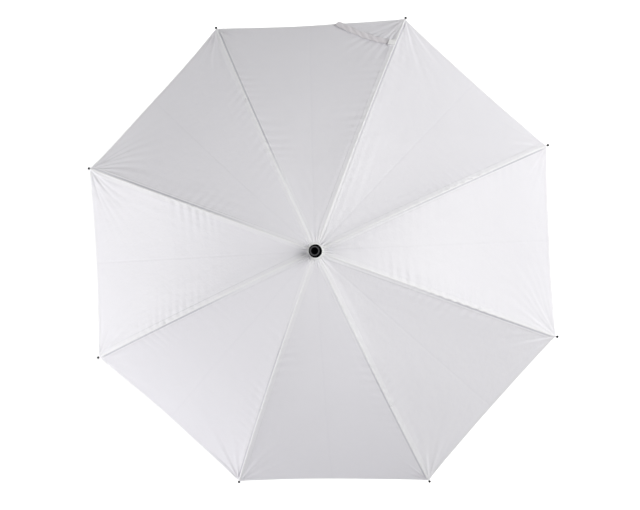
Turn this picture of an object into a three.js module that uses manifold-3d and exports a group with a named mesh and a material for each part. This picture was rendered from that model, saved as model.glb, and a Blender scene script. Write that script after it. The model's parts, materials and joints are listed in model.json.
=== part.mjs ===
// White translucent umbrella for a studio light, eight ribs, shown open.
// Millimetres. +Z runs along the shaft towards the cap. The origin is the point
// on the shaft's axis where a light stand's bracket grips it.
import * as THREE from 'three';
import { mergeVertices } from 'three/addons/utils/BufferGeometryUtils.js';
import Module from 'manifold-3d';

const wasm = await Module();
wasm.setup();

// Layout
const DEG = Math.PI / 180;
const RIBS = 8;
const PITCH = 2 * Math.PI / RIBS;      // angle from rib to rib
const HINGE_Z = 590;                   // plane of the rib hinges
const HINGE_R = 8.5;                   // hinge circle of crown and runner
const CLEAR = 0.3;                     // working gap between pieces

// Dome: every rib is an arc that leaves the crown at a slight slope
const DOME_R = 821.74;
const HUB_SLOPE = 5 * DEG;
const RIB_END = 536;                   // arc length where the channel stops
const CANOPY_START = 4;
const CANOPY_END = 541;

// Channel sections of ribs and stretchers
const CHANNEL_W = 3.4;
const CHANNEL_H = 3;
const WALL = 0.5;
const TONGUE_W = 1.6;
const NOSE_START = 6;                  // solid nose between tongue and channel
const NOSE_END = 9;

// Pivot under each rib that carries its stretcher
const PIVOT_ARC = 240;
const PIVOT_DROP = 5.2;
const PIN_R = 0.8;

// Canopy panels
const PANEL_LIFT = 2.6;                // underside above the rib's centreline
const PANEL_T = 0.8;
const PANEL_SINK = 6;                  // how far a panel's middle draws inwards
const HEM_DIP = 3;                     // how far the hem's middle draws back
const PANEL_GAP = 0.2;

// Shaft
const SHAFT_R = 4;
const SHAFT_BORE = 3.2;
const SHAFT_LOW = -145.7;
const SHAFT_TOP = 610;
const CROSS_PIN_Z = 598.5;

// Runner
const SLEEVE = 42;                     // from its hinge circle down to its lower end

const material = (color, roughness, metalness) => () =>
  new THREE.MeshStandardMaterial({ color, roughness, metalness, flatShading: true });
const fabric = material(0xf2f3f5, 0.75, 0);
const blackPlastic = material(0x16171a, 0.45, 0);
const plated = material(0xc9ccd0, 0.3, 1);
const satinSteel = material(0xb9bcc0, 0.35, 1);
const wire = material(0x9a9ca0, 0.4, 1);

// ---- joining and cutting -------------------------------------------------

// Closed three.js geometry to a solid, without the flat triangles at a lathe's poles.
function solid(geometry) {
  let g = geometry.clone();
  g.deleteAttribute('normal');
  g.deleteAttribute('uv');
  g = mergeVertices(g, 1e-4);
  const index = g.index.array;
  const kept = [];
  for (let i = 0; i < index.length; i += 3) {
    const [a, b, c] = [index[i], index[i + 1], index[i + 2]];
    if (a !== b && b !== c && a !== c) kept.push(a, b, c);
  }
  return new wasm.Manifold(new wasm.Mesh({
    numProp: 3,
    vertProperties: new Float32Array(g.attributes.position.array),
    triVerts: new Uint32Array(kept),
  }));
}

function surface(body) {
  const mesh = body.getMesh();
  const g = new THREE.BufferGeometry();
  g.setAttribute('position', new THREE.BufferAttribute(new Float32Array(mesh.vertProperties), 3));
  g.setIndex(new THREE.BufferAttribute(new Uint32Array(mesh.triVerts), 1));
  g.computeVertexNormals();
  return g;
}

function combine(added, cut = []) {
  let body = solid(added[0]);
  for (const g of added.slice(1)) body = body.add(solid(g));
  for (const g of cut) body = body.subtract(solid(g));
  return surface(body);
}

// ---- simple shapes -------------------------------------------------------

// Outline in the X-Z plane, given thickness along Y and centred on y.
function plate(outline, thickness, y = 0) {
  const g = new THREE.ExtrudeGeometry(new THREE.Shape(outline), {
    depth: thickness, bevelEnabled: false,
  });
  return g.rotateX(Math.PI / 2).translate(0, y + thickness / 2, 0);
}

function box(x0, x1, y0, y1, z0, z1) {
  return new THREE.BoxGeometry(x1 - x0, y1 - y0, z1 - z0)
    .translate((x0 + x1) / 2, (y0 + y1) / 2, (z0 + z1) / 2);
}

// Rod along Y through the point x, z.
function crossRod(r, length, x = 0, z = 0, sides = 12) {
  return new THREE.CylinderGeometry(r, r, length, sides).translate(x, 0, z);
}

// Profile of radius and height pairs, turned about Z.
function turned(profile, sides = 32) {
  const points = profile.map(([r, z]) => new THREE.Vector2(r, z));
  return new THREE.LatheGeometry(points, sides).rotateX(Math.PI / 2);
}

const ring = (r0, r1, z0, z1, sides) =>
  turned([[r0, z0], [r1, z0], [r1, z1], [r0, z1], [r0, z0]], sides);

const steps = (from, to, count) =>
  Array.from({ length: count + 1 }, (_, i) => from + (to - from) * i / count);

function arc(x, z, r, from, to, count) {
  return steps(from, to, count).map(
    (a) => new THREE.Vector2(x + r * Math.cos(a), z + r * Math.sin(a)));
}

// ---- dome curve ----------------------------------------------------------

// Point at an arc length along a rib, lifted off its centreline, as radius and
// height above the hinge plane.
function ribPoint(s, lift = 0) {
  const slope = HUB_SLOPE + s / DOME_R;
  return new THREE.Vector2(
    HINGE_R + DOME_R * (Math.sin(slope) - Math.sin(HUB_SLOPE)) + lift * Math.sin(slope),
    DOME_R * (Math.cos(slope) - Math.cos(HUB_SLOPE)) + lift * Math.cos(slope));
}

const ribAngle = (i) => (i - 0.5) * PITCH;
const slopeAt = (s) => HUB_SLOPE + s / DOME_R;

// Closed outline between two lifts along part of a rib.
function band(stations, low, high) {
  const under = stations.map((s) => ribPoint(s, low));
  const over = stations.map((s) => ribPoint(s, high)).reverse();
  return under.concat(over);
}

// Pivot of the stretcher, and where its other end sits on the runner.
const pivot = ribPoint(PIVOT_ARC, -PIVOT_DROP);
const runnerDrop = 2 * pivot.y;
const stretcherLength = Math.hypot(pivot.x - HINGE_R, pivot.y);
const stretcherRise = Math.atan2(-pivot.y, pivot.x - HINGE_R);

// ---- pieces --------------------------------------------------------------

function ribShape() {
  const run = steps(NOSE_END, RIB_END, 14);
  const h = CHANNEL_H / 2;
  const outer = plate(band([NOSE_START, ...run], -h, h), CHANNEL_W);
  const tongue = plate(band([0, 4, NOSE_START + 1], -h, h), TONGUE_W);
  const eye = crossRod(2.4, TONGUE_W, HINGE_R);
  const hollow = plate(band([...run, RIB_END + 4], -h - 1, h - WALL), CHANNEL_W - 2 * WALL);
  return combine([outer, tongue, eye], [hollow, crossRod(1, 4, HINGE_R, 0, 8)]);
}

// Black end piece: a stem inside the channel, a collar and a ball.
function tipShape() {
  const ballAt = 12;
  const ballR = 2.5;
  const neckR = 1.3;
  const start = Math.asin(neckR / ballR);
  const ball = steps(Math.PI - start, 0, 5).map(
    (a) => [ballR * Math.sin(a), ballAt + ballR * Math.cos(a)]);
  ball[ball.length - 1][0] = 0;
  const profile = [[0, 0.3], [2.1, 0.3], [2.1, 2.8], [neckR, 3.4], ...ball];
  const head = turned(profile, 10).rotateY(Math.PI / 2);
  const stem = box(-14, 1, -0.9, 0.9, -1.2, 0.5);
  const end = ribPoint(RIB_END);
  return combine([head, stem]).rotateY(slopeAt(RIB_END)).translate(end.x, 0, end.y);
}

// Stamped saddle under the rib, with two ears and the stretcher's pin.
function saddleShape() {
  const outline = [
    new THREE.Vector2(-5, 1), new THREE.Vector2(-5, -2.6),
    ...arc(0, -PIVOT_DROP, 2.2, Math.PI, 2 * Math.PI, 5),
    new THREE.Vector2(5, -2.6), new THREE.Vector2(5, 1),
  ];
  const inner = CHANNEL_W / 2 + CLEAR;
  const thick = 0.7;
  const sides = [-1, 1].map((side) => plate(outline, thick, side * (inner + thick / 2)));
  const bridge = box(-5, 5, -inner - 0.1, inner + 0.1, -2.5, -1.8);
  const pin = crossRod(PIN_R, 2 * (inner + thick) - 0.2, 0, -PIVOT_DROP, 8);
  const at = ribPoint(PIVOT_ARC);
  return combine([...sides, bridge, pin])
    .rotateY(slopeAt(PIVOT_ARC)).translate(at.x, 0, at.y);
}

// Channel from the runner's hinge circle up to the saddle's pin.
function stretcherShape() {
  const h = CHANNEL_H / 2;
  const end = stretcherLength;
  const outline = [
    new THREE.Vector2(NOSE_START, -h),
    ...arc(end, 0, 2, -0.75 * Math.PI, 0.75 * Math.PI, 6),
    new THREE.Vector2(NOSE_START, h),
  ];
  const tongue = box(0, NOSE_START + 1, -TONGUE_W / 2, TONGUE_W / 2, -h, h);
  const eye = crossRod(2.2, TONGUE_W);
  const hollow = box(NOSE_END, end + 4, WALL - CHANNEL_W / 2, CHANNEL_W / 2 - WALL, -4, h - WALL);
  return combine([plate(outline, CHANNEL_W), tongue, eye],
    [hollow, crossRod(1.05, 4, 0, 0, 8), crossRod(PIN_R + 0.4, 6, end, 0, 8)])
    .rotateY(-stretcherRise).translate(HINGE_R, 0, runnerDrop);
}

// Slots for the tongues, from just inside the hinge eyes out past the rim.
function hingeSlots(z0, z1) {
  return Array.from({ length: RIBS }, (_, i) =>
    box(5.8, 13, -1.2, 1.2, z0, z1).rotateZ(ribAngle(i + 1)));
}

function crownShape() {
  const body = turned([[4.3, -3.4], [11.2, -3.4], [11.2, 5], [6, 5], [6, 12], [4.3, 12],
    [4.3, -3.4]]);
  const groove = ring(7.5, 9.6, -5, 0.9);
  const pinHole = crossRod(1.3, 16, 0, CROSS_PIN_Z - HINGE_Z);
  return combine([body], [groove, pinHole, ...hingeSlots(-5, 2.7)]);
}

function runnerShape() {
  const grips = [-38, -32, -26].flatMap(
    (z) => [[7.2, z], [8.1, z + 0.8], [8.1, z + 2], [7.2, z + 2.8]]);
  const body = turned([[4.4, -SLEEVE], [7.2, -SLEEVE], ...grips, [7.2, -9], [11.2, -5.6],
    [11.2, 3.4], [4.4, 3.4], [4.4, -SLEEVE]]);
  const groove = ring(7.5, 9.6, -0.9, 5);
  return combine([body], [groove, ...hingeSlots(-2.7, 5)]);
}

// Hinge wire bent into sixteen straight lengths, so each eye turns on a straight one.
function hingeWire() {
  const bend = PITCH / 4;
  return new THREE.TorusGeometry(HINGE_R / Math.cos(bend), 0.6, 8, 2 * RIBS).rotateZ(bend);
}

function shaftShape() {
  const tube = ring(SHAFT_BORE, SHAFT_R, SHAFT_LOW, SHAFT_TOP, 32);
  const catchSlot = box(2, 5, -1, 1, 400.5, 428.5);
  return combine([tube], [catchSlot, crossRod(1.3, 12, 0, CROSS_PIN_Z)]);
}

function plugShape() {
  return turned([[0, -150], [3.6, -150], [4, -149.4], [4, -146], [2.9, -146], [2.9, -130],
    [0, -130]], 20);
}

// Spring catch in the shaft's slot; its flat top holds the runner up.
function catchShape() {
  const top = HINGE_Z + runnerDrop - SLEEVE - CLEAR;
  const outline = [[0.8, -30], [2.7, -30], [3.3, -25], [7.2, -1.6], [7.2, 0], [2, 0], [0.8, -25]];
  return plate(outline.map(([x, z]) => new THREE.Vector2(x, top + z)), 1.2);
}

function rosetteShape() {
  return turned([[6.4, 5.3], [12, 5.3], [17.5, 3.5], [17.5, 4.1], [12, 5.9], [6.4, 5.9],
    [6.4, 5.3]]);
}

// Cap over the crown's neck: tapered, with a rounded rim round a recess.
function capShape() {
  return turned([[0, 27], [5.4, 27], [6.3, 26], [6.3, 6.2], [12.5, 6.2], [12.5, 8.4], [11.4, 14],
    [9.6, 26], [8.7, 34.6], [8.4, 35.6], [7.8, 36], [7, 35.8], [6.4, 35], [6.2, 30.6], [5.6, 30],
    [0, 30]], 28);
}

// Point of a canopy panel: arc length from the crown, distance across from the
// panel's middle, and lift. X runs out along the panel's middle.
function panelPoint(s, y, lift) {
  const rib = ribPoint(s, lift);
  const half = rib.x * Math.sin(PITCH / 2);
  const in01 = 1 - Math.min(1, Math.abs(y) / half);
  const sink = PANEL_SINK * Math.sin(Math.PI * Math.min(1, s / CANOPY_END)) * in01 * (2 - in01);
  const slope = slopeAt(s);
  return new THREE.Vector3(
    rib.x * Math.cos(PITCH / 2) - sink * Math.sin(slope), y, rib.y - sink * Math.cos(slope));
}

function mapped(geometry, place) {
  const p = geometry.attributes.position;
  for (let i = 0; i < p.count; i++) {
    const q = place(p.getX(i) + 0.5, p.getY(i) + 0.5, p.getZ(i) + 0.5);
    p.setXYZ(i, q.x, q.y, q.z);
  }
  geometry.computeVertexNormals();
  return geometry;
}

// Half a panel, from its seam (side -1 or +1) to the fold line in its middle.
function halfPanel(side) {
  return mapped(new THREE.BoxGeometry(1, 1, 1, 10, 2, 1), (u, v, w) => {
    const in01 = side < 0 ? v : 1 - v;
    const end = CANOPY_END - HEM_DIP * in01 * (2 - in01);
    const s = CANOPY_START + (end - CANOPY_START) * u;
    const lift = PANEL_LIFT + PANEL_T * w;
    const half = ribPoint(s, lift).x * Math.sin(PITCH / 2) - PANEL_GAP / Math.cos(PITCH / 2);
    return panelPoint(s, side * (half + (PANEL_GAP - half) * in01), lift);
  });
}

// Tie strap, sewn beside the seam and laid over the corner to just past the hem.
function strapShape() {
  const sewn = { s: 468, y: -163 };
  const free = { s: 543, y: -57 };
  const width = 12;
  return mapped(new THREE.BoxGeometry(1, 1, 1, 8, 1, 1), (u, v, w) => {
    const s = sewn.s + (free.s - sewn.s) * u + width * (0.5 - v) * 0.8;
    const y = sewn.y + (free.y - sewn.y) * u + width * (v - 0.5) * 0.6;
    return panelPoint(s, y, PANEL_LIFT + PANEL_T + 0.4 + 0.8 * w);
  });
}

// ---- assembly ------------------------------------------------------------

const umbrella = new THREE.Group();

function place(name, geometry, look, z = 0, turn = 0) {
  const mesh = new THREE.Mesh(geometry, look());
  mesh.name = name;
  mesh.position.z = z;
  mesh.rotation.z = turn;
  umbrella.add(mesh);
}

const runnerZ = HINGE_Z + runnerDrop;
place('shaft', shaftShape(), satinSteel);
place('shaft_plug', plugShape(), blackPlastic);
place('catch_spring', catchShape(), wire);
place('crown', crownShape(), blackPlastic, HINGE_Z);
place('crown_wire', hingeWire(), wire, HINGE_Z);
place('crown_pin', crossRod(1, 11.6), wire, CROSS_PIN_Z);
place('rosette', rosetteShape(), fabric, HINGE_Z);
place('ferrule_cap', capShape(), blackPlastic, HINGE_Z);
place('runner', runnerShape(), blackPlastic, runnerZ);
place('runner_wire', hingeWire(), wire, runnerZ);
place('tie_strap', strapShape(), fabric, HINGE_Z, 2 * PITCH);

const rib = ribShape();
const tip = tipShape();
const saddle = saddleShape();
const stretcher = stretcherShape();
const halves = { '-1': halfPanel(-1), 1: halfPanel(1) };
for (let i = 1; i <= RIBS; i++) {
  const next = i % RIBS + 1;
  place(`rib_${i}`, rib, plated, HINGE_Z, ribAngle(i));
  place(`rib_tip_${i}`, tip, blackPlastic, HINGE_Z, ribAngle(i));
  place(`rib_saddle_${i}`, saddle, plated, HINGE_Z, ribAngle(i));
  place(`stretcher_${i}`, stretcher, plated, HINGE_Z, ribAngle(i));
  place(`gore_${i}_at_rib_${i}`, halves['-1'], fabric, HINGE_Z, i * PITCH);
  place(`gore_${i}_at_rib_${next}`, halves[1], fabric, HINGE_Z, i * PITCH);
}

export default umbrella;
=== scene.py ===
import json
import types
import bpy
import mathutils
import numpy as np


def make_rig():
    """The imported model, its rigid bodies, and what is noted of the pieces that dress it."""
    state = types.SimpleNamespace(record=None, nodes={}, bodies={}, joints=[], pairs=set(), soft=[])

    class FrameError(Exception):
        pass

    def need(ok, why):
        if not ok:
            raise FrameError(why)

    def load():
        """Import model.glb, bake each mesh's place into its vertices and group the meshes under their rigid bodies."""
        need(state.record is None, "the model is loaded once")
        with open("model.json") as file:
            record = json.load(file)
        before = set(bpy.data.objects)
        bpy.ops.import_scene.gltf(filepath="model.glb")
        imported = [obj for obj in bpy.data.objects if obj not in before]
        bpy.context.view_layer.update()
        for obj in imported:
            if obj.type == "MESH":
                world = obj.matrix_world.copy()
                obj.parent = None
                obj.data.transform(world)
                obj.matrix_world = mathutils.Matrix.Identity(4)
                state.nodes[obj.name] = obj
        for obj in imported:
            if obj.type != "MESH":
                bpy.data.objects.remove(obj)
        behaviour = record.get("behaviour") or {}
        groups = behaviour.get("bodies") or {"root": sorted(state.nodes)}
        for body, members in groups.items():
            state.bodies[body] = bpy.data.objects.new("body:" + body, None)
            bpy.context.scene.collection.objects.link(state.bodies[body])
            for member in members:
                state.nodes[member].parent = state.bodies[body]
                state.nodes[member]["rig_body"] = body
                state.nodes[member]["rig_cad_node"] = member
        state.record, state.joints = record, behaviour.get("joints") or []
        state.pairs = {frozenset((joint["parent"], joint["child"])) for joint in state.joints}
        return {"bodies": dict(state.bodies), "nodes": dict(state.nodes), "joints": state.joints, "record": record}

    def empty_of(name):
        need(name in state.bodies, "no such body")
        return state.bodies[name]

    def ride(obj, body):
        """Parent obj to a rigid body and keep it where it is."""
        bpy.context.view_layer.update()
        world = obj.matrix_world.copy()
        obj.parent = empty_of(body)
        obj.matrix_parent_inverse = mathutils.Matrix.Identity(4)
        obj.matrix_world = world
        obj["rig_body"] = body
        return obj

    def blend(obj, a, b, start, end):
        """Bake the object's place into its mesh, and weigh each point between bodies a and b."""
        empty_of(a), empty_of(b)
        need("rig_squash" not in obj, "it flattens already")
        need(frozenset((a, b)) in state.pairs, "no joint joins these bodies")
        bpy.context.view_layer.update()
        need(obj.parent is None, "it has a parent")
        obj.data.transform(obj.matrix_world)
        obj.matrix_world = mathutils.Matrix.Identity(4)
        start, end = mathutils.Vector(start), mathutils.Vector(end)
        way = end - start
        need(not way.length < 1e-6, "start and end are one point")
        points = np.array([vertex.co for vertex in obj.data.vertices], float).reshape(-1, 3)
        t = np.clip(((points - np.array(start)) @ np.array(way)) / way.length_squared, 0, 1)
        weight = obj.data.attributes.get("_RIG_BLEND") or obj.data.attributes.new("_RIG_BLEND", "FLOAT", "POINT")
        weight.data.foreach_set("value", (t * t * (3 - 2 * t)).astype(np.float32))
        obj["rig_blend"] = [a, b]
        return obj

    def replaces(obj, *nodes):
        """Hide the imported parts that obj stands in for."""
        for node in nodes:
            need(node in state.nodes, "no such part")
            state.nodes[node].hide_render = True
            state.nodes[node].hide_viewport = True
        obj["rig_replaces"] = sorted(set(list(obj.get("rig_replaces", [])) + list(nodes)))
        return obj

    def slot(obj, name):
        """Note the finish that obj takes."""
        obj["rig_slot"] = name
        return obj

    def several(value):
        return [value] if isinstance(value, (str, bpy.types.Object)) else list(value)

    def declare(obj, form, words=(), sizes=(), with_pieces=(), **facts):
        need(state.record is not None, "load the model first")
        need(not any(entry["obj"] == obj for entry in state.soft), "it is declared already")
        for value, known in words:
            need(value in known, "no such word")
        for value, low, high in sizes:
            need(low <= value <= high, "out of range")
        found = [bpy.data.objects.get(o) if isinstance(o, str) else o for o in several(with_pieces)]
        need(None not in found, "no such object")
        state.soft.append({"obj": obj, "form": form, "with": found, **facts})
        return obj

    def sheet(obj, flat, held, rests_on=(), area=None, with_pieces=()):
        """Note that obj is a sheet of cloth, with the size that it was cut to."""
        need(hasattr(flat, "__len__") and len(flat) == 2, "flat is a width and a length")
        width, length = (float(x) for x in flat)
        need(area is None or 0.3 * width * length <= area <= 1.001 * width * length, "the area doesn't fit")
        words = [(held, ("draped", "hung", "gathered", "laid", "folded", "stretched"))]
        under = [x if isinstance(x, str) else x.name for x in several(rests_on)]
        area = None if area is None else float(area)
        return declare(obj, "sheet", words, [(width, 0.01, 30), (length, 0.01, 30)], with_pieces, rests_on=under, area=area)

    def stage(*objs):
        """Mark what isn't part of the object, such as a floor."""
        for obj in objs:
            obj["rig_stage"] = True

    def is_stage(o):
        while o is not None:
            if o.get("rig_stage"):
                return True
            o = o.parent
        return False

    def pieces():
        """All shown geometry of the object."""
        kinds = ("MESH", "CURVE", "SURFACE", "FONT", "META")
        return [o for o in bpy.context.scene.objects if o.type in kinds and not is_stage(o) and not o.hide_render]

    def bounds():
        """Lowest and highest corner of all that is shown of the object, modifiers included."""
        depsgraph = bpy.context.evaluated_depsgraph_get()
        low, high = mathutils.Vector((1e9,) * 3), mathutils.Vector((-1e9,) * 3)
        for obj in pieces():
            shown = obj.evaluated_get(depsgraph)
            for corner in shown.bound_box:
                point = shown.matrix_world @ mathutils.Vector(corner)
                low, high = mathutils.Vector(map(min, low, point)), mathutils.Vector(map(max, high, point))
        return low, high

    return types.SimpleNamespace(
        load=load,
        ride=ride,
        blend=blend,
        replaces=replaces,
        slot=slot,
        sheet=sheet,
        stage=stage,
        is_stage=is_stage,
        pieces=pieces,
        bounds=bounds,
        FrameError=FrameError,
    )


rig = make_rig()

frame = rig.load()

import json
import math
import bpy
from mathutils import Matrix, Vector, noise

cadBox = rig.bounds()
hub = next(j for j in frame["joints"] if j["name"] == "canopy_fold")["pos_m"]

# how the dome is laid out, in metres; each rib is an arc that leaves the crown nearly level
dome = {
    "ribs": 8,
    "pitch": math.tau / 8,
    "hingeRadius": math.hypot(hub[0], hub[1]),
    "hingeHeight": hub[2],
    "arcRadius": 0.82174,
    "hubSlope": math.radians(5),
    "pull": {6: -0.0085, 7: 0.0075, 2: -0.001, 4: 0.001},  # ribs never spring quite alike
}


# small helpers for objects
mergeGap = 0.000005  # points nearer than this are one


def deselectAll():
    if bpy.context.object and bpy.context.object.mode != "OBJECT":
        bpy.ops.object.mode_set(mode="OBJECT")
    bpy.ops.object.select_all(action="DESELECT")


def makeActive(piece):
    deselectAll()
    piece.select_set(True)
    bpy.context.view_layer.objects.active = piece


def applyModifier(piece, kind, **settings):
    makeActive(piece)
    modifier = piece.modifiers.new(kind.title(), kind)
    for key, value in settings.items():
        setattr(modifier, key, value)
    bpy.ops.object.modifier_apply(modifier=modifier.name)


def settle(piece):
    makeActive(piece)
    bpy.ops.object.transform_apply(location=True, rotation=True, scale=True)


def smoothBy(piece, degrees):
    makeActive(piece)
    bpy.ops.object.shade_smooth_by_angle(angle=math.radians(degrees))


def finishPiece(piece, body, nodes, finish, slotName):
    piece.data.materials.clear()
    piece.data.materials.append(finish)
    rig.slot(piece, slotName)
    if body:
        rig.ride(piece, body)
    if nodes:
        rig.replaces(piece, *nodes)
    return piece


def turnedPiece(name, rings, sides):
    # a circle drawn up ring by ring; rings are (radius, height)
    deselectAll()
    radius, height = rings[0]
    bpy.ops.mesh.primitive_circle_add(vertices=sides, radius=radius, location=(0, 0, 0))
    piece = bpy.context.object
    piece.name = name
    bpy.ops.object.mode_set(mode="EDIT")
    bpy.ops.mesh.select_all(action="SELECT")
    bpy.ops.transform.translate(value=(0, 0, height))
    for nextRadius, nextHeight in rings[1:]:
        bpy.ops.mesh.extrude_region_move(
            TRANSFORM_OT_translate={"value": (0, 0, nextHeight - height)})
        grow = nextRadius / radius
        bpy.ops.transform.resize(value=(grow, grow, 1), center_override=(0, 0, nextHeight))
        radius, height = nextRadius, nextHeight
    bpy.ops.mesh.select_mode(type="EDGE")
    bpy.ops.mesh.select_all(action="DESELECT")
    bpy.ops.mesh.select_non_manifold()
    bpy.ops.mesh.fill()
    bpy.ops.mesh.select_all(action="SELECT")
    bpy.ops.mesh.normals_make_consistent(inside=False)
    bpy.ops.object.mode_set(mode="OBJECT")
    return piece


def roundProfile(radius, centre, start, end, count):
    # part of a ball's outline as (radius, height) pairs; angles in degrees from the top
    points = []
    for i in range(count + 1):
        angle = math.radians(start + (end - start) * i / count)
        points.append((max(radius * math.sin(angle), 0.00002), centre + radius * math.cos(angle)))
    return points


def refinedCopy(node, bevel, angle=35):
    # the frame's own piece, merged, with its edges broken and its round faces smooth
    source = frame["nodes"][node]
    piece = bpy.data.objects.new(node + "Fine", source.data.copy())
    bpy.context.scene.collection.objects.link(piece)
    piece.matrix_world = source.matrix_world
    settle(piece)
    bpy.ops.object.mode_set(mode="EDIT")
    bpy.ops.mesh.select_all(action="SELECT")
    bpy.ops.mesh.remove_doubles(threshold=mergeGap)
    bpy.ops.mesh.dissolve_limited(angle_limit=math.radians(1.0))
    bpy.ops.mesh.normals_make_consistent(inside=False)
    bpy.ops.object.mode_set(mode="OBJECT")
    if bevel:
        applyModifier(piece, "BEVEL", width=bevel, segments=2, limit_method="ANGLE",
                      angle_limit=math.radians(45), use_clamp_overlap=True)
    smoothBy(piece, angle)
    return piece


# small helpers for shaders
class Wire:
    # a socket that can be added, multiplied and so on
    def __init__(self, shader, socket):
        self.shader = shader
        self.socket = socket

    def maths(self, operation, other=None, swap=False):
        values = [self] if other is None else ([other, self] if swap else [self, other])
        return self.shader.add("ShaderNodeMath", {"operation": operation},
                               dict(enumerate(values)))

    def __add__(self, other):
        return self.maths("ADD", other)

    def __radd__(self, other):
        return self.maths("ADD", other)

    def __sub__(self, other):
        return self.maths("SUBTRACT", other)

    def __rsub__(self, other):
        return self.maths("SUBTRACT", other, swap=True)

    def __mul__(self, other):
        return self.maths("MULTIPLY", other)

    def __rmul__(self, other):
        return self.maths("MULTIPLY", other)

    def absolute(self):
        return self.maths("ABSOLUTE")

    def fade(self, low, high):
        # 0 at low, 1 at high, smooth between; works falling too
        return self.shader.add("ShaderNodeMapRange", {"interpolation_type": "SMOOTHSTEP"},
                               {"Value": self, "From Min": low, "From Max": high})


class Finish:
    def __init__(self, name):
        self.material = bpy.data.materials.new(name)
        self.material.use_nodes = True
        self.tree = self.material.node_tree
        self.tree.nodes.clear()

    def add(self, kind, settings=None, values=None, output=0):
        node = self.tree.nodes.new(kind)
        for key, value in (settings or {}).items():
            setattr(node, key, value)
        for key, value in (values or {}).items():
            if isinstance(value, Wire):
                self.tree.links.new(value.socket, node.inputs[key])
            else:
                node.inputs[key].default_value = value
        return Wire(self, node.outputs[output]) if len(node.outputs) else node

    def colourMix(self, mask, low, high):
        # 0, 6 and 7 are the factor and the two colours; output 2 is the mixed colour
        return self.add("ShaderNodeMix", {"data_type": "RGBA"}, {0: mask, 6: low, 7: high}, 2)

    def noise(self, vector, scale, detail=2.0, roughness=0.5):
        return self.add("ShaderNodeTexNoise", None,
                        {"Vector": vector, "Scale": scale, "Detail": detail,
                         "Roughness": roughness})

    def place(self):
        # the piece's own coordinates, in metres
        return self.add("ShaderNodeTexCoord", None, None, 3)

    def field(self, name):
        # a number stored at each point of the piece
        return self.add("ShaderNodeAttribute", {"attribute_name": name}, None, 2)

    def stretched(self, vector, scale):
        return self.add("ShaderNodeMapping", None, {"Vector": vector, "Scale": scale})

    def bump(self, height):
        return self.add("ShaderNodeBump", None,
                        {"Height": height, "Distance": 1.0, "Strength": 1.0})

    def show(self, surface):
        self.add("ShaderNodeOutputMaterial", None, {"Surface": surface})
        return self.material


def addPrincipled(shader, values):
    return shader.add("ShaderNodeBsdfPrincipled", None, values)


# finishes
def makeClothFinish(name, settings):
    # soft white nylon: lets part of the light through, doubled at seams and hem
    s = Finish(name)
    place = s.place()
    # the last field is the mask of painted shadow beside seams and under the rosette's lifted edge
    seam, hem, fold, under = (s.field(name) for name in
                              ("seamGap", "hemGap", "foldGap", "paintedShadowMask"))
    seamBand = seam.fade(settings["seamAllowance"] + 0.0006, settings["seamAllowance"] - 0.0004)
    hemBand = hem.fade(settings["hemWidth"] + 0.0004, settings["hemWidth"] - 0.0004)
    doubled = seamBand.maths("MAXIMUM", hemBand)
    stitch = (hem - settings["hemWidth"] + 0.001).absolute().fade(0.0009, 0.0002)
    crease = fold.fade(0.0035, 0.0)
    slowNoise = s.noise(place, 5.0, 3.0)
    fineNoise = s.noise(place, 900.0, 2.0)
    crumple = s.noise(place, 26.0, 4.0, 0.62)
    base = s.colourMix(slowNoise, settings["colour"], settings["shade"])
    base = s.colourMix(doubled * 0.55, base, settings["doubledColour"])
    # painted highlight: a bright line along each seam, partly the whiter doubled cloth and partly the light that the
    # seam ridge catches
    seamHighlight = seam.fade(0.0023, 0.0011)
    base = s.colourMix(seamHighlight * 0.62, base, settings["seamHighlightColour"])
    allowance = (seam - settings["seamAllowance"]).absolute().fade(0.0012, 0.0)
    # painted shadow: a dark band beside the seam on its turned side, and under the rosette's lifted edge
    paintedShadow = (seam - settings["paintedShadowAt"]).absolute().fade(settings["paintedShadowWide"], 0.0010) * under
    # stitches and seam allowance edges are dark lines in the cloth; the crease share is painted shade in the middle
    # fold
    base = s.colourMix(stitch * 0.3 + crease * 0.05 + allowance * settings["seamLine"], base,
                       settings["line"])
    base = s.colourMix(paintedShadow * settings["paintedShadowStrength"], base, settings["paintedShadowColour"])
    relief = (crumple * settings["crumple"] + fineNoise * settings["weave"]
              + doubled * 0.00035 - stitch * 0.00022 - crease * settings["crease"])
    bump = s.bump(relief)
    solid = addPrincipled(s, {"Base Color": base, "Roughness": settings["roughness"],
                              "Specular IOR Level": 0.5, "Sheen Weight": 0.05,
                              "Normal": bump})
    glow = s.add("ShaderNodeBsdfTranslucent", None,
                 {"Color": settings["through"], "Normal": bump})
    share = settings["translucency"] - doubled * settings["translucency"] * 0.45
    return s.show(s.add("ShaderNodeMixShader", None, {0: share, 1: solid, 2: glow}))


def makePlasticFinish(name, settings):
    s = Finish(name)
    place = s.place()
    grain = s.noise(place, 2600.0, 3.0)
    wear = s.noise(place, 140.0, 4.0, 0.6)
    colour = s.colourMix(wear, settings["colour"], settings["worn"])
    if "ring" in settings:  # painted highlight: the rounded rim round the cap's recess is painted lighter, where it catches the light
        height = s.add("ShaderNodeSeparateXYZ", None, {"Vector": place}, 2)
        colour = s.colourMix(height.fade(settings["ringLow"], settings["ringLow"] + 0.0004),
                             colour, settings["ring"])
    rough = settings["roughness"] + (wear - 0.5) * 0.2
    bump = s.bump(grain * settings["grain"] + wear * settings["scuff"])
    return s.show(addPrincipled(s, {"Base Color": colour, "Roughness": rough,
                                    "Specular IOR Level": settings["specular"],
                                    "Normal": bump}))


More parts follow.
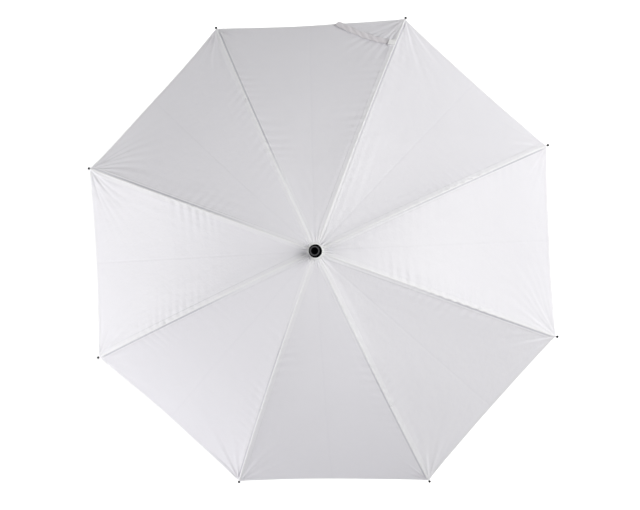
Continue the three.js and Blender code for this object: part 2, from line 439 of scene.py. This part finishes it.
def makeSteelFinish(name, settings):
    # drawn or plated steel with fine marks along or round the piece
    s = Finish(name)
    place = s.place()
    marks = s.noise(s.stretched(place, settings["stretch"]), 1.0, 3.0, 0.6)
    cloud = s.noise(place, 40.0, 3.0)
    colour = s.colourMix(cloud, settings["colour"], settings["dull"])
    rough = settings["roughness"] + (marks - 0.5) * 0.16 + (cloud - 0.5) * 0.08
    bump = s.bump(marks * settings["depth"])
    return s.show(addPrincipled(s, {"Base Color": colour, "Metallic": 1.0,
                                    "Roughness": rough, "Normal": bump}))


cloth = {
    "colour": (0.862, 0.852, 0.895, 1), "shade": (0.836, 0.826, 0.870, 1),
    # the line colour darkens stitches and allowance edges, and also paints shade into the middle crease
    "doubledColour": (0.90, 0.895, 0.925, 1), "line": (0.62, 0.61, 0.68, 1),
    # the next line holds a painted highlight colour for the seam ridge and a painted shadow colour for beside the seam
    "seamHighlightColour": (0.97, 0.97, 0.98, 1), "paintedShadowColour": (0.40, 0.39, 0.46, 1),
    "through": (0.90, 0.89, 0.94, 1), "translucency": 0.045, "roughness": 0.46,
    "seamAllowance": 0.0085, "hemWidth": 0.0075, "crumple": 0.0016, "weave": 0.00002,
    "crease": 0.00018, "seamLine": 0.08, "paintedShadowAt": 0.0036, "paintedShadowWide": 0.0022,
    "paintedShadowStrength": 0.58,
}
strapCloth = dict(cloth, colour=(0.895, 0.866, 0.905, 1), shade=(0.87, 0.842, 0.88, 1),
                  doubledColour=(0.90, 0.875, 0.91, 1), translucency=0.05, crumple=0.0012)
patchCloth = dict(cloth, colour=(0.95, 0.95, 0.955, 1), shade=(0.93, 0.93, 0.94, 1),
                  doubledColour=(0.97, 0.97, 0.97, 1), translucency=0.02, crumple=0.0008)
plasticLook = {"colour": (0.003, 0.003, 0.0034, 1), "worn": (0.007, 0.007, 0.008, 1),
               "roughness": 0.46, "specular": 0.24, "grain": 0.00002, "scuff": 0.00003}
# the ring colour is a painted highlight on the cap's rounded top rim
capLook = dict(plasticLook, colour=(0.0012, 0.0012, 0.0014, 1), worn=(0.003, 0.003, 0.0035, 1),
               roughness=0.6, specular=0.0, ring=(0.088, 0.088, 0.092, 1),
               ringLow=0.6249)
shaftLook = {"colour": (0.60, 0.61, 0.63, 1), "dull": (0.50, 0.51, 0.53, 1),
             "roughness": 0.30, "stretch": (1400, 1400, 12), "depth": 0.00001}
ribLook = {"colour": (0.70, 0.71, 0.73, 1), "dull": (0.58, 0.59, 0.61, 1),
           "roughness": 0.24, "stretch": (60, 60, 900), "depth": 0.00001}
wireLook = {"colour": (0.42, 0.42, 0.44, 1), "dull": (0.30, 0.30, 0.31, 1),
            "roughness": 0.38, "stretch": (500, 500, 500), "depth": 0.00001}

clothFinish = makeClothFinish("white umbrella cloth", cloth)
strapFinish = makeClothFinish("strap cloth", strapCloth)
patchFinish = makeClothFinish("doubled white cloth", patchCloth)
plasticFinish = makePlasticFinish("black moulded plastic", plasticLook)
capFinish = makePlasticFinish("black cap plastic", capLook)
shaftFinish = makeSteelFinish("satin shaft steel", shaftLook)
ribFinish = makeSteelFinish("plated rib steel", ribLook)
wireFinish = makeSteelFinish("spring wire", wireLook)
print("finishes made")


# dome curve
def ribPoint(arc, lift=0.0):
    # radius and height of a point along a rib, lifted off its centreline
    slope = dome["hubSlope"] + arc / dome["arcRadius"]
    out = dome["hingeRadius"] + dome["arcRadius"] * (math.sin(slope) - math.sin(dome["hubSlope"]))
    up = dome["arcRadius"] * (math.cos(slope) - math.cos(dome["hubSlope"]))
    return out + lift * math.sin(slope), dome["hingeHeight"] + up + lift * math.cos(slope), slope


def ribAngle(number):
    return (number - 0.5) * dome["pitch"]


def onRib(number, out, up, slope):
    # turns a piece's own Z along a rib and sets it there
    return (Matrix.Rotation(ribAngle(number), 4, "Z") @ Matrix.Translation((out, 0, up))
            @ Matrix.Rotation(slope + math.pi / 2, 4, "Y"))


def smoothStep(value):
    value = min(1.0, max(0.0, value))
    return value * value * (3 - 2 * value)


def pulled(point):
    # the small difference between one rib's spring and the next, eased between ribs
    radius = math.hypot(point.x, point.y)
    if radius < 0.02:
        return point
    where = (math.atan2(point.y, point.x) / dome["pitch"] + 0.5) % dome["ribs"]
    before = int(where) or dome["ribs"]
    after = before % dome["ribs"] + 1
    share = where - int(where)
    pull = dome["pull"].get(before, 0) * (1 - share) + dome["pull"].get(after, 0) * share
    grow = 1 + pull * (radius / 0.5) ** 2 / radius
    return Vector((point.x * grow, point.y * grow, point.z))


def pullMesh(piece):
    for vertex in piece.data.vertices:
        vertex.co = pulled(vertex.co)


# canopy
canopy = {
    "start": 0.004, "end": 0.541, "lift": 0.003, "sink": 0.0065, "hemDip": 0.003,
    "along": 190, "across": 56,
    "seamRise": 0.00015, "seamHalf": 0.0020,
    "grooveAt": 0.0040, "grooveDepth": 0.00035, "grooveHalf": 0.0016,
    "puckerPitch": 0.019, "puckerHeight": 0.0011, "puckerReach": 0.026,
    "puckerMiddle": 0.30, "puckerSpread": 0.15,
    "fanHeight": 0.0013, "fanReach": 0.055, "fanWaves": (11, 23),
    "fanFine": 0.0050, "fineReach": 0.085, "fineWaves": 34,
    "strongFans": {(2, -1): 3.4, (3, 1): 3.6, (4, -1): 1.8, (8, -1): 2.2, (7, 1): 1.4},
    "hemCurl": 0.003, "hemCurlFrom": 0.45,
    "gatherHeight": 0.0007, "gatherReach": 0.034, "gatherWaves": 29,
    "tieArc": 0.335, "tieDip": 0.0012, "tieAlong": 0.004, "tieAcross": 0.006,
    "swell": 0.0018, "streakHeight": 0.0006, "streakReach": 0.05,
    "turnedOver": (5,),  # the ribs whose seam is turned the other way
}


def tuckSide(rib):
    # the side of a seam that its turned edge lies on
    return -1 if rib in canopy["turnedOver"] else 1


def seamRib(panel, side):
    return panel if side < 0 else panel % dome["ribs"] + 1


def halfWidth(arc):
    # from a panel's middle fold to its seam
    return ribPoint(arc)[0] * math.sin(dome["pitch"] / 2)


def clothLift(panel, side, arc, across, half):
    # height of the cloth over the rib's centreline; across is 0 at the seam, 1 at the fold
    c = canopy
    gap = half * across
    lift = c["lift"] + c["seamRise"] * math.exp(-(gap / c["seamHalf"]) ** 2)
    if side == tuckSide(seamRib(panel, side)):  # its turned edge stands over a narrow groove
        lift -= c["grooveDepth"] * math.exp(-((gap - c["grooveAt"]) / c["grooveHalf"]) ** 2)
    lift -= (c["tieDip"] * math.exp(-((arc - c["tieArc"]) / c["tieAlong"]) ** 2)
             * math.exp(-(gap / c["tieAcross"]) ** 2))
    # short puckers across the seam, strongest half way out
    wander = noise.noise(Vector((panel * 3.1 + side, arc * 9, 0.3)))
    middle = math.exp(-((arc - c["puckerMiddle"]) / c["puckerSpread"]) ** 2)
    lift += (c["puckerHeight"] * middle * (0.6 + wander)
             * math.sin(math.tau * arc / c["puckerPitch"] + 5 * wander)
             * math.exp(-gap / c["puckerReach"]) * min(1, gap / 0.003))
    # folds that fan out from the tip the cloth is tied to
    back = max(1e-6, c["end"] - arc)
    reach = math.hypot(back, gap)
    spread = math.atan2(gap, back)
    broad, narrow = c["fanWaves"]
    fold = (math.sin(spread * broad + panel * 1.7 + side)
            + 0.5 * math.sin(spread * narrow + panel))
    lift += (c["fanHeight"] * fold * math.exp(-reach / c["fanReach"])
             * min(1, reach / 0.016) * min(1, gap / 0.004))
    fine = math.sin(spread * c["fineWaves"] + 1.5 * math.sin(reach * 30 + panel))
    strong = c["strongFans"].get((panel, side), 0.6 + 0.4 * math.sin(panel * 2.3))
    lift += (c["fanFine"] * strong * reach * fine * math.exp(-(reach / c["fineReach"]) ** 2)
             * min(1, gap / 0.006) * smoothStep((1.5 - spread) / 0.3))
    # the hem bends down a little more than the ribs do
    curl = max(0.0, (arc - c["hemCurlFrom"]) / (c["end"] - c["hemCurlFrom"]))
    lift -= c["hemCurl"] * curl * curl * across * (2 - across)
    # long soft streaks that run beside the seam
    streak = noise.noise(Vector((gap * 95, arc * 5 + panel * 7, side * 3.3)))
    lift += (c["streakHeight"] * streak * math.exp(-gap / c["streakReach"])
             * min(1, gap / 0.004) * min(1, arc / 0.06) * min(1, back / 0.05))
    # gathers round the crown
    turn = (panel + side * 0.5 * (1 - across)) * dome["pitch"]
    lift += (c["gatherHeight"] * math.sin(turn * c["gatherWaves"] + 2 * math.sin(turn * 5))
             * math.exp(-arc / c["gatherReach"]) * min(1, across * (1 - across) * 8))
    # broad unevenness, the same on both sides of a seam
    slow = noise.noise(Vector((math.cos(turn) * arc * 7, math.sin(turn) * arc * 7, 4.0)))
    lift += c["swell"] * slow * min(1, gap / 0.02)
    return lift


def clothAt(panel, side, arc, across, lift):
    # a point of the dome over one half panel, sunk a little between the ribs
    out, up, slope = ribPoint(arc, lift)
    sink = (canopy["sink"] * math.sin(math.pi * min(1, arc / canopy["end"]))
            * across * (2 - across))
    x = out * math.cos(dome["pitch"] / 2) - sink * math.sin(slope)
    y = side * out * math.sin(dome["pitch"] / 2) * (1 - across)
    z = up - sink * math.cos(slope)
    turn = Matrix.Rotation(panel * dome["pitch"], 3, "Z")
    return pulled(turn @ Vector((x, y, z)))


farOff = 0.1  # a gap at which no seam, hem or fold shows


def addField(piece, name, values):
    field = piece.data.attributes.new(name, "FLOAT", "POINT")
    field.data.foreach_set("value", values)


def clothGrid(name, along, across):
    deselectAll()
    bpy.ops.mesh.primitive_grid_add(x_subdivisions=along, y_subdivisions=across, size=1)
    piece = bpy.context.object
    piece.name = name
    return piece


def setWeights(piece, weights):
    # how far each point goes with the fold rather than with the rib
    piece.data.attributes["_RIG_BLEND"].data.foreach_set("value", weights)


def makeCanopyHalf(panel, side):
    rib = seamRib(panel, side)
    node = f"gore_{panel}_at_rib_{rib}"
    piece = clothGrid(f"canopyPanel{panel}Rib{rib}", canopy["along"], canopy["across"])
    seamGap, hemGap, foldGap, paintedShadowMask, weights, surface = [], [], [], [], [], []
    for vertex in piece.data.vertices:
        step = vertex.co.y + 0.5
        step = step if side < 0 else 1 - step
        across = 0.3 * step + 0.7 * step * step
        end = canopy["end"] - canopy["hemDip"] * across * (2 - across)
        arc = canopy["start"] + (end - canopy["start"]) * (vertex.co.x + 0.5)
        half = halfWidth(arc)
        lift = clothLift(panel, side, arc, across, half)
        vertex.co = clothAt(panel, side, arc, across, lift)
        seamGap.append(half * across)
        foldGap.append(half * (1 - across))
        hemGap.append(end - arc)
        # the painted shadow beside the seam is stronger towards the hem and comes and goes along the seam
        shown = 0.9 * smoothStep((arc - 0.06) / 0.26)
        shown += 0.6 * noise.noise(Vector((rib * 2.7, arc * 7, 0.7)))
        shown = min(1.0, max(0.0, shown))
        shown *= smoothStep(arc / 0.12) * smoothStep((canopy["end"] - arc) / 0.02)
        paintedShadowMask.append(shown if side == tuckSide(rib) else 0.0)
        weights.append(across)
        surface.append((side * half * (1 - across), arc))
    for name, values in (("seamGap", seamGap), ("hemGap", hemGap), ("foldGap", foldGap),
                         ("paintedShadowMask", paintedShadowMask)):
        addField(piece, name, values)
    layer = piece.data.uv_layers.active.data
    for loop in piece.data.loops:
        layer[loop.index].uv = surface[loop.vertex_index]
    makeActive(piece)
    bpy.ops.object.shade_smooth()
    finishPiece(piece, None, [node], clothFinish, "canopy_fabric")
    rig.blend(piece, f"rib_{rib}_arm", node + "_cloth", clothAt(panel, side, 0.3, 0, 0),
             clothAt(panel, side, 0.3, 1, 0))
    setWeights(piece, weights)
    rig.sheet(piece, flat=(0.190, 0.537), area=0.0567, held="stretched",
             rests_on=[f"rib_{rib}", "crown"])
    return piece


for panel in range(1, dome["ribs"] + 1):
    for side in (-1, 1):
        makeCanopyHalf(panel, side)
print("canopy made")


# tie strap and its patch
strap = {"sewnArc": 0.467, "sewnGap": 0.005, "freeArc": 0.5375, "freeGap": 0.136,
         "width": 0.0135, "lift": 0.0042, "thick": 0.0005, "ruffle": 0.0010,
         "leanAlong": 0.88, "leanAcross": 0.46, "stitchFrom": 0.0068}
patch = {"long": 0.0155, "wide": 0.0145, "past": 0.0015, "lift": 0.0052, "loose": 0.16,
         "thick": 0.0006}


def makeStrap():
    piece = clothGrid("tieStrap", 140, 12)
    weights, edge = [], []
    for vertex in piece.data.vertices:
        t, w = vertex.co.x + 0.5, vertex.co.y
        # slanting folds, slack in the middle and flat where it is sewn
        slack = smoothStep(t * 5) * (1 - 0.5 * smoothStep((t - 0.8) * 5))
        folds = math.sin(t * 43 + w * 7.0) + 0.6 * math.sin(t * 24 - w * 3.2 + 1)
        end = 1 - max(0.0, (t - 0.93) / 0.07) ** 2 * 0.55 * (2 * abs(w)) ** 2
        across = w * strap["width"] * (1 - 0.10 * math.sin(t * 23 + 1)) * end
        arc = strap["sewnArc"] + (strap["freeArc"] - strap["sewnArc"]) * t ** 1.35
        gap = strap["sewnGap"] + (strap["freeGap"] - strap["sewnGap"]) * t
        arc -= across * strap["leanAlong"]
        gap += across * strap["leanAcross"]
        share = gap / halfWidth(arc)
        rise = strap["lift"] + strap["ruffle"] * (0.4 + 0.5 * folds) * slack
        vertex.co = clothAt(2, -1, arc, share, rise)
        weights.append(share)
        edge.append(0.5 * strap["width"] - abs(across))
    addField(piece, "seamGap", [farOff] * len(edge))
    addField(piece, "hemGap", [strap["stitchFrom"] + gap for gap in edge])
    addField(piece, "foldGap", [farOff] * len(edge))
    makeActive(piece)
    bpy.ops.object.shade_smooth()
    applyModifier(piece, "SOLIDIFY", thickness=strap["thick"], offset=0)
    finishPiece(piece, None, ["tie_strap"], strapFinish, "canopy_fabric")
    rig.blend(piece, "rib_2_arm", "gore_2_at_rib_2_cloth", clothAt(2, -1, 0.5, 0, 0),
             clothAt(2, -1, 0.5, 1, 0))
    setWeights(piece, weights + weights)
    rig.sheet(piece, flat=(0.0135, 0.150), held="laid", rests_on=["canopyPanel2Rib2"])
    return piece


def makePatch():
    # doubled cloth sewn over the seam where the strap starts; it starts just past the seam
    piece = clothGrid("strapPatch", 12, 16)
    for vertex in piece.data.vertices:
        gap = (vertex.co.y + 0.5) * patch["long"] - patch["past"]
        arc = strap["sewnArc"] - 0.0015 + vertex.co.x * patch["wide"]
        half = halfWidth(arc)
        rise = patch["lift"] + canopy["seamRise"] * math.exp(-(gap / 0.004) ** 2)
        rise += patch["loose"] * max(0.0, gap - 0.001)  # its loose end stands up
        rise += 0.0003 * math.sin(vertex.co.x * 13) * math.cos(vertex.co.y * 9)
        if gap >= 0:
            vertex.co = clothAt(2, -1, arc, gap / half, rise)
        else:
            vertex.co = clothAt(1, 1, arc, -gap / half, rise)
    count = len(piece.data.vertices)
    # so small a seam gap makes the whole patch doubled cloth and lays the painted seam highlight over all of it
    for name, gap in (("seamGap", 0.001), ("hemGap", farOff), ("foldGap", farOff)):
        addField(piece, name, [gap] * count)
    makeActive(piece)
    bpy.ops.object.shade_smooth()
    applyModifier(piece, "SOLIDIFY", thickness=patch["thick"], offset=0)
    finishPiece(piece, "rib_2_arm", [], patchFinish, "canopy_fabric")
    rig.sheet(piece, flat=(0.0145, 0.016), held="laid", rests_on=["canopyPanel2Rib2"])


makeStrap()
makePatch()
print("strap made")


# rosette under the cap
rosette = {"inner": 0.0064, "outer": 0.0174, "low": 0.5938, "high": 0.5956,
           "ruffle": 0.0004, "tucks": (51, 212), "thick": 0.0006, "stitchFrom": 0.0055}


def turnFrom(turn, degrees):
    # how far a direction is from another, in radians, the short way round
    return (turn - math.radians(degrees) + math.pi) % math.tau - math.pi


def makeRosette():
    piece = clothGrid("rosetteDisc", 14, 144)
    for vertex in piece.data.vertices:
        t, turn = vertex.co.x + 0.5, (vertex.co.y + 0.5) * math.tau
        radius = rosette["inner"] + (rosette["outer"] - rosette["inner"]) * t
        radius -= 0.0004 * t * (1 + math.sin(turn * 13))
        drop = smoothStep((t - 0.35) / 0.65)
        height = rosette["high"] - (rosette["high"] - rosette["low"]) * drop
        height += rosette["ruffle"] * t * t * math.sin(turn * 19 + 2 * math.sin(turn * 3))
        for tuck in rosette["tucks"]:  # where its edge stands off the cloth
            apart = turnFrom(turn, tuck)
            height += 0.0011 * t * t * math.exp(-(apart / 0.2) ** 2)
            radius -= 0.0011 * t * math.exp(-(apart / 0.13) ** 2)
        vertex.co = (radius * math.cos(turn), radius * math.sin(turn), height)
    makeActive(piece)
    bpy.ops.object.mode_set(mode="EDIT")
    bpy.ops.mesh.select_all(action="SELECT")
    bpy.ops.mesh.remove_doubles(threshold=mergeGap)
    bpy.ops.mesh.normals_make_consistent(inside=False)
    bpy.ops.object.mode_set(mode="OBJECT")
    count = len(piece.data.vertices)
    rim = [rosette["outer"] - math.hypot(v.co.x, v.co.y) for v in piece.data.vertices]
    # painted shadow under the two places where the edge stands off the cloth
    paintedShadow = []
    for vertex, gap in zip(piece.data.vertices, rim):
        turn = math.atan2(vertex.co.y, vertex.co.x)
        near = min(abs(turnFrom(turn, tuck)) for tuck in rosette["tucks"])
        paintedShadow.append(math.exp(-(near / 0.16) ** 2) * smoothStep(1.25 - gap / 0.0035))
    # the seam gap is set to the painted shadow's own distance, so that shadow shows at full strength where the mask
    # allows
    for name, values in (("seamGap", [cloth["paintedShadowAt"]] * count), ("foldGap", [farOff] * count),
                         ("hemGap", [rosette["stitchFrom"] + gap for gap in rim]),
                         ("paintedShadowMask", paintedShadow)):
        addField(piece, name, values)
    bpy.ops.object.shade_smooth()
    applyModifier(piece, "SOLIDIFY", thickness=rosette["thick"], offset=0)
    finishPiece(piece, "shaft_assembly", ["rosette"], patchFinish, "canopy_fabric")
    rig.sheet(piece, flat=(0.035, 0.035), area=0.00083, held="stretched",
             rests_on=["ferrule_cap", "crown"])


makeRosette()
print("rosette made")


# black cap over the crown
capShape = {"foot": 0.5962, "footRadius": 0.0125, "top": 0.6260, "rimOut": 0.0094,
            "rimIn": 0.0066, "recess": 0.0060}


def makeCap():
    c = capShape
    foot, top, wide = c["foot"], c["top"], c["footRadius"]
    rings = [(0.00002, foot + 0.021), (0.0054, foot + 0.021), (0.0063, foot + 0.02),
             (0.0063, foot + 0.0003), (0.0066, foot), (wide - 0.0004, foot),
             (wide, foot + 0.0004), (wide, foot + 0.0019), (wide - 0.0004, foot + 0.0027),
             (0.0119, foot + 0.0060), (0.0115, foot + 0.0100), (0.0109, foot + 0.0145),
             (0.0104, foot + 0.0190), (0.0100, foot + 0.0230), (0.0097, top - 0.0030),
             (c["rimOut"], top - 0.0012), (0.0091, top - 0.0005), (0.0086, top - 0.0001),
             (0.0080, top), (0.0074, top - 0.0001), (0.0069, top - 0.0005),
             (c["rimIn"], top - 0.0013), (0.0063, top - c["recess"] + 0.0006),
             (0.0057, top - c["recess"]), (0.0016, top - c["recess"]),
             (0.0015, top - c["recess"] - 0.0008), (0.0011, top - c["recess"] - 0.0012),
             (0.00002, top - c["recess"] - 0.0012)]
    piece = turnedPiece("capMoulding", rings, 96)
    smoothBy(piece, 40)
    return finishPiece(piece, "shaft_assembly", ["ferrule_cap"], capFinish, "black_plastic")


makeCap()
print("cap made")


# rib tips
tipShape = {"arc": 0.536, "ballAt": 0.012, "ballRadius": 0.0026, "neck": 0.0013}


def makeTips():
    t = tipShape
    rings = [(0.00002, 0.0003), (0.0019, 0.0003), (0.0021, 0.0005), (0.0021, 0.0025),
             (0.0018, 0.0030), (t["neck"], 0.0035), (t["neck"], t["ballAt"] - 0.0023)]
    rings += roundProfile(t["ballRadius"], t["ballAt"], 146, 0, 10)
    out, up, slope = ribPoint(t["arc"])
    for number in range(1, dome["ribs"] + 1):
        piece = turnedPiece(f"tipBall{number}", rings, 24)
        piece.matrix_world = onRib(number, out, up, slope)
        settle(piece)
        pullMesh(piece)
        smoothBy(piece, 40)
        finishPiece(piece, f"rib_{number}_arm", [f"rib_tip_{number}"], plasticFinish,
                    "black_plastic")


makeTips()
print("tips made")


# metal frame and hidden plastic: the width of the broken edges, the finish and its slot
ribSteel = (0.00012, ribFinish, "rib_steel")
fineParts = {"rib": ribSteel, "rib_saddle": ribSteel, "stretcher": ribSteel}
singleParts = {
    "shaft": (0.0, shaftFinish, "shaft_steel", "shaft_assembly"),
    "shaft_plug": (0.0002, plasticFinish, "black_plastic", "shaft_assembly"),
    "crown": (0.0002, plasticFinish, "black_plastic", "shaft_assembly"),
    "crown_wire": (0.0, wireFinish, "wire_steel", "shaft_assembly"),
    "crown_pin": (0.0001, wireFinish, "wire_steel", "shaft_assembly"),
    "runner": (0.0002, plasticFinish, "black_plastic", "runner_body"),
    "runner_wire": (0.0, wireFinish, "wire_steel", "runner_body"),
    "catch_spring": (0.00015, wireFinish, "wire_steel", "catch_body"),
}

for stem, (bevel, finish, slotName) in fineParts.items():
    for number in range(1, dome["ribs"] + 1):
        node = f"{stem}_{number}"
        piece = refinedCopy(node, bevel)
        if stem == "rib":
            pullMesh(piece)
        body = f"stretcher_{number}_arm" if stem == "stretcher" else f"rib_{number}_arm"
        finishPiece(piece, body, [node], finish, slotName)
for node, (bevel, finish, slotName, body) in singleParts.items():
    finishPiece(refinedCopy(node, bevel), body, [node], finish, slotName)
print("frame pieces refined")


# thread ties that hold the cloth to each rib
threadTie = {"loop": 0.0024, "thread": 0.0003, "lift": 0.0004}


def makeThreadTies():
    out, up, slope = ribPoint(canopy["tieArc"], threadTie["lift"])
    for number in range(1, dome["ribs"] + 1):
        deselectAll()
        bpy.ops.mesh.primitive_torus_add(major_radius=threadTie["loop"],
                                         minor_radius=threadTie["thread"],
                                         major_segments=24, minor_segments=8)
        piece = bpy.context.object
        piece.name = f"threadTie{number}"
        piece.matrix_world = onRib(number, out, up, slope)
        settle(piece)
        pullMesh(piece)
        bpy.ops.object.shade_smooth()
        finishPiece(piece, f"rib_{number}_arm", [], patchFinish, "canopy_fabric")


makeThreadTies()
print("thread ties made")


# floor, light and camera
studio = {"floorHeight": -0.1502, "floorSize": 120.0, "floorGlow": 0.49, "sky": 0.02,
          "backdrop": (0.47, 0.47, 0.472, 1)}
lights = {
    "rightMain": {"place": (2.274, 0.360, 2.8), "size": 2.6, "power": 97.0,
                  "colour": (1.0, 1.0, 0.98)},
    "rearFill": {"place": (1.548, 1.701, 2.8), "size": 2.0, "power": 5.0,
                 "colour": (0.97, 0.96, 1.0)},
    "frontFill": {"place": (-1.548, -1.701, 2.8), "size": 2.0, "power": 4.0,
                  "colour": (0.97, 0.96, 1.0)},
    "leftSide": {"place": (-2.897, -0.137, 1.7), "size": 1.6, "power": 34.0,
                 "colour": (1.0, 1.0, 0.98)},
    "leftLow": {"place": (-2.997, -0.141, 0.95), "size": 2.0, "power": 20.0,
                "colour": (1.0, 1.0, 0.98)},
    "cornerLow": {"place": (-2.018, -2.219, 0.95), "size": 2.0, "power": 23.5,
                  "colour": (0.97, 0.96, 1.0)},
}
lens = {"target": (0.0007, -0.0065, 0.45), "distance": 3.2, "off": 3.0, "towards": -10.4,
        "roll": 2.73, "focal": 91.9}


def makeFloor():
    deselectAll()
    bpy.ops.mesh.primitive_plane_add(size=studio["floorSize"],
                                     location=(0, 0, studio["floorHeight"]))
    floor = bpy.context.object
    floor.name = "studioFloor"
    settle(floor)
    s = Finish("white floor")
    floor.data.materials.append(s.show(addPrincipled(s, {
        "Base Color": (0.9, 0.9, 0.9, 1), "Roughness": 0.9,
        "Emission Color": (1, 1, 1, 1), "Emission Strength": studio["floorGlow"]})))
    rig.stage(floor)


def makeLights():
    aim = Vector((0, 0, 0.5))
    for name, settings in lights.items():
        deselectAll()
        bpy.ops.object.light_add(type="AREA", location=settings["place"])
        lamp = bpy.context.object
        lamp.name = name
        lamp.data.shape = "DISK"
        lamp.data.size = settings["size"]
        lamp.data.energy = settings["power"]
        lamp.data.color = settings["colour"]
        lamp.rotation_euler = (aim - lamp.location).to_track_quat("-Z", "Y").to_euler()
        lamp.visible_camera = False
    world = bpy.data.worlds.new("studio sky")
    bpy.context.scene.world = world
    world.use_nodes = True
    tree = world.node_tree
    sky = tree.nodes["Background"]
    sky.inputs["Color"].default_value = (1, 1, 1, 1)
    sky.inputs["Strength"].default_value = studio["sky"]
    backdrop = tree.nodes.new("ShaderNodeBackground")  # seen, but gives no light
    backdrop.inputs["Color"].default_value = studio["backdrop"]
    seen = tree.nodes.new("ShaderNodeLightPath")
    either = tree.nodes.new("ShaderNodeMixShader")
    tree.links.new(seen.outputs["Is Camera Ray"], either.inputs[0])
    tree.links.new(sky.outputs[0], either.inputs[1])
    tree.links.new(backdrop.outputs[0], either.inputs[2])
    tree.links.new(either.outputs[0], tree.nodes["World Output"].inputs["Surface"])


def makeCamera():
    off, towards = math.radians(lens["off"]), math.radians(lens["towards"])
    roll = math.radians(lens["roll"])
    away = Vector((math.sin(off) * math.cos(towards), math.sin(off) * math.sin(towards),
                   math.cos(off)))
    right = (-away).cross(Vector((math.sin(roll), math.cos(roll), 0))).normalized()
    up = right.cross(-away)
    turn = Matrix((right, up, away)).transposed().to_4x4()
    deselectAll()
    bpy.ops.object.camera_add()
    camera = bpy.context.object
    camera.name = "studioCamera"
    place = Vector(lens["target"]) + away * lens["distance"]
    camera.matrix_world = Matrix.Translation(place) @ turn
    camera.data.sensor_width = 36
    camera.data.lens = lens["focal"]
    camera.data.clip_end = 100
    bpy.context.scene.camera = camera


makeFloor()
makeLights()
makeCamera()
bpy.context.scene.view_settings.view_transform = "Standard"
print("studio ready")

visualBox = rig.bounds()
with open("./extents.json", "w") as sizeFile:
    json.dump({"cad": [list(corner) for corner in cadBox],
               "visual": [list(corner) for corner in visualBox]}, sizeFile)
print("sizes written")
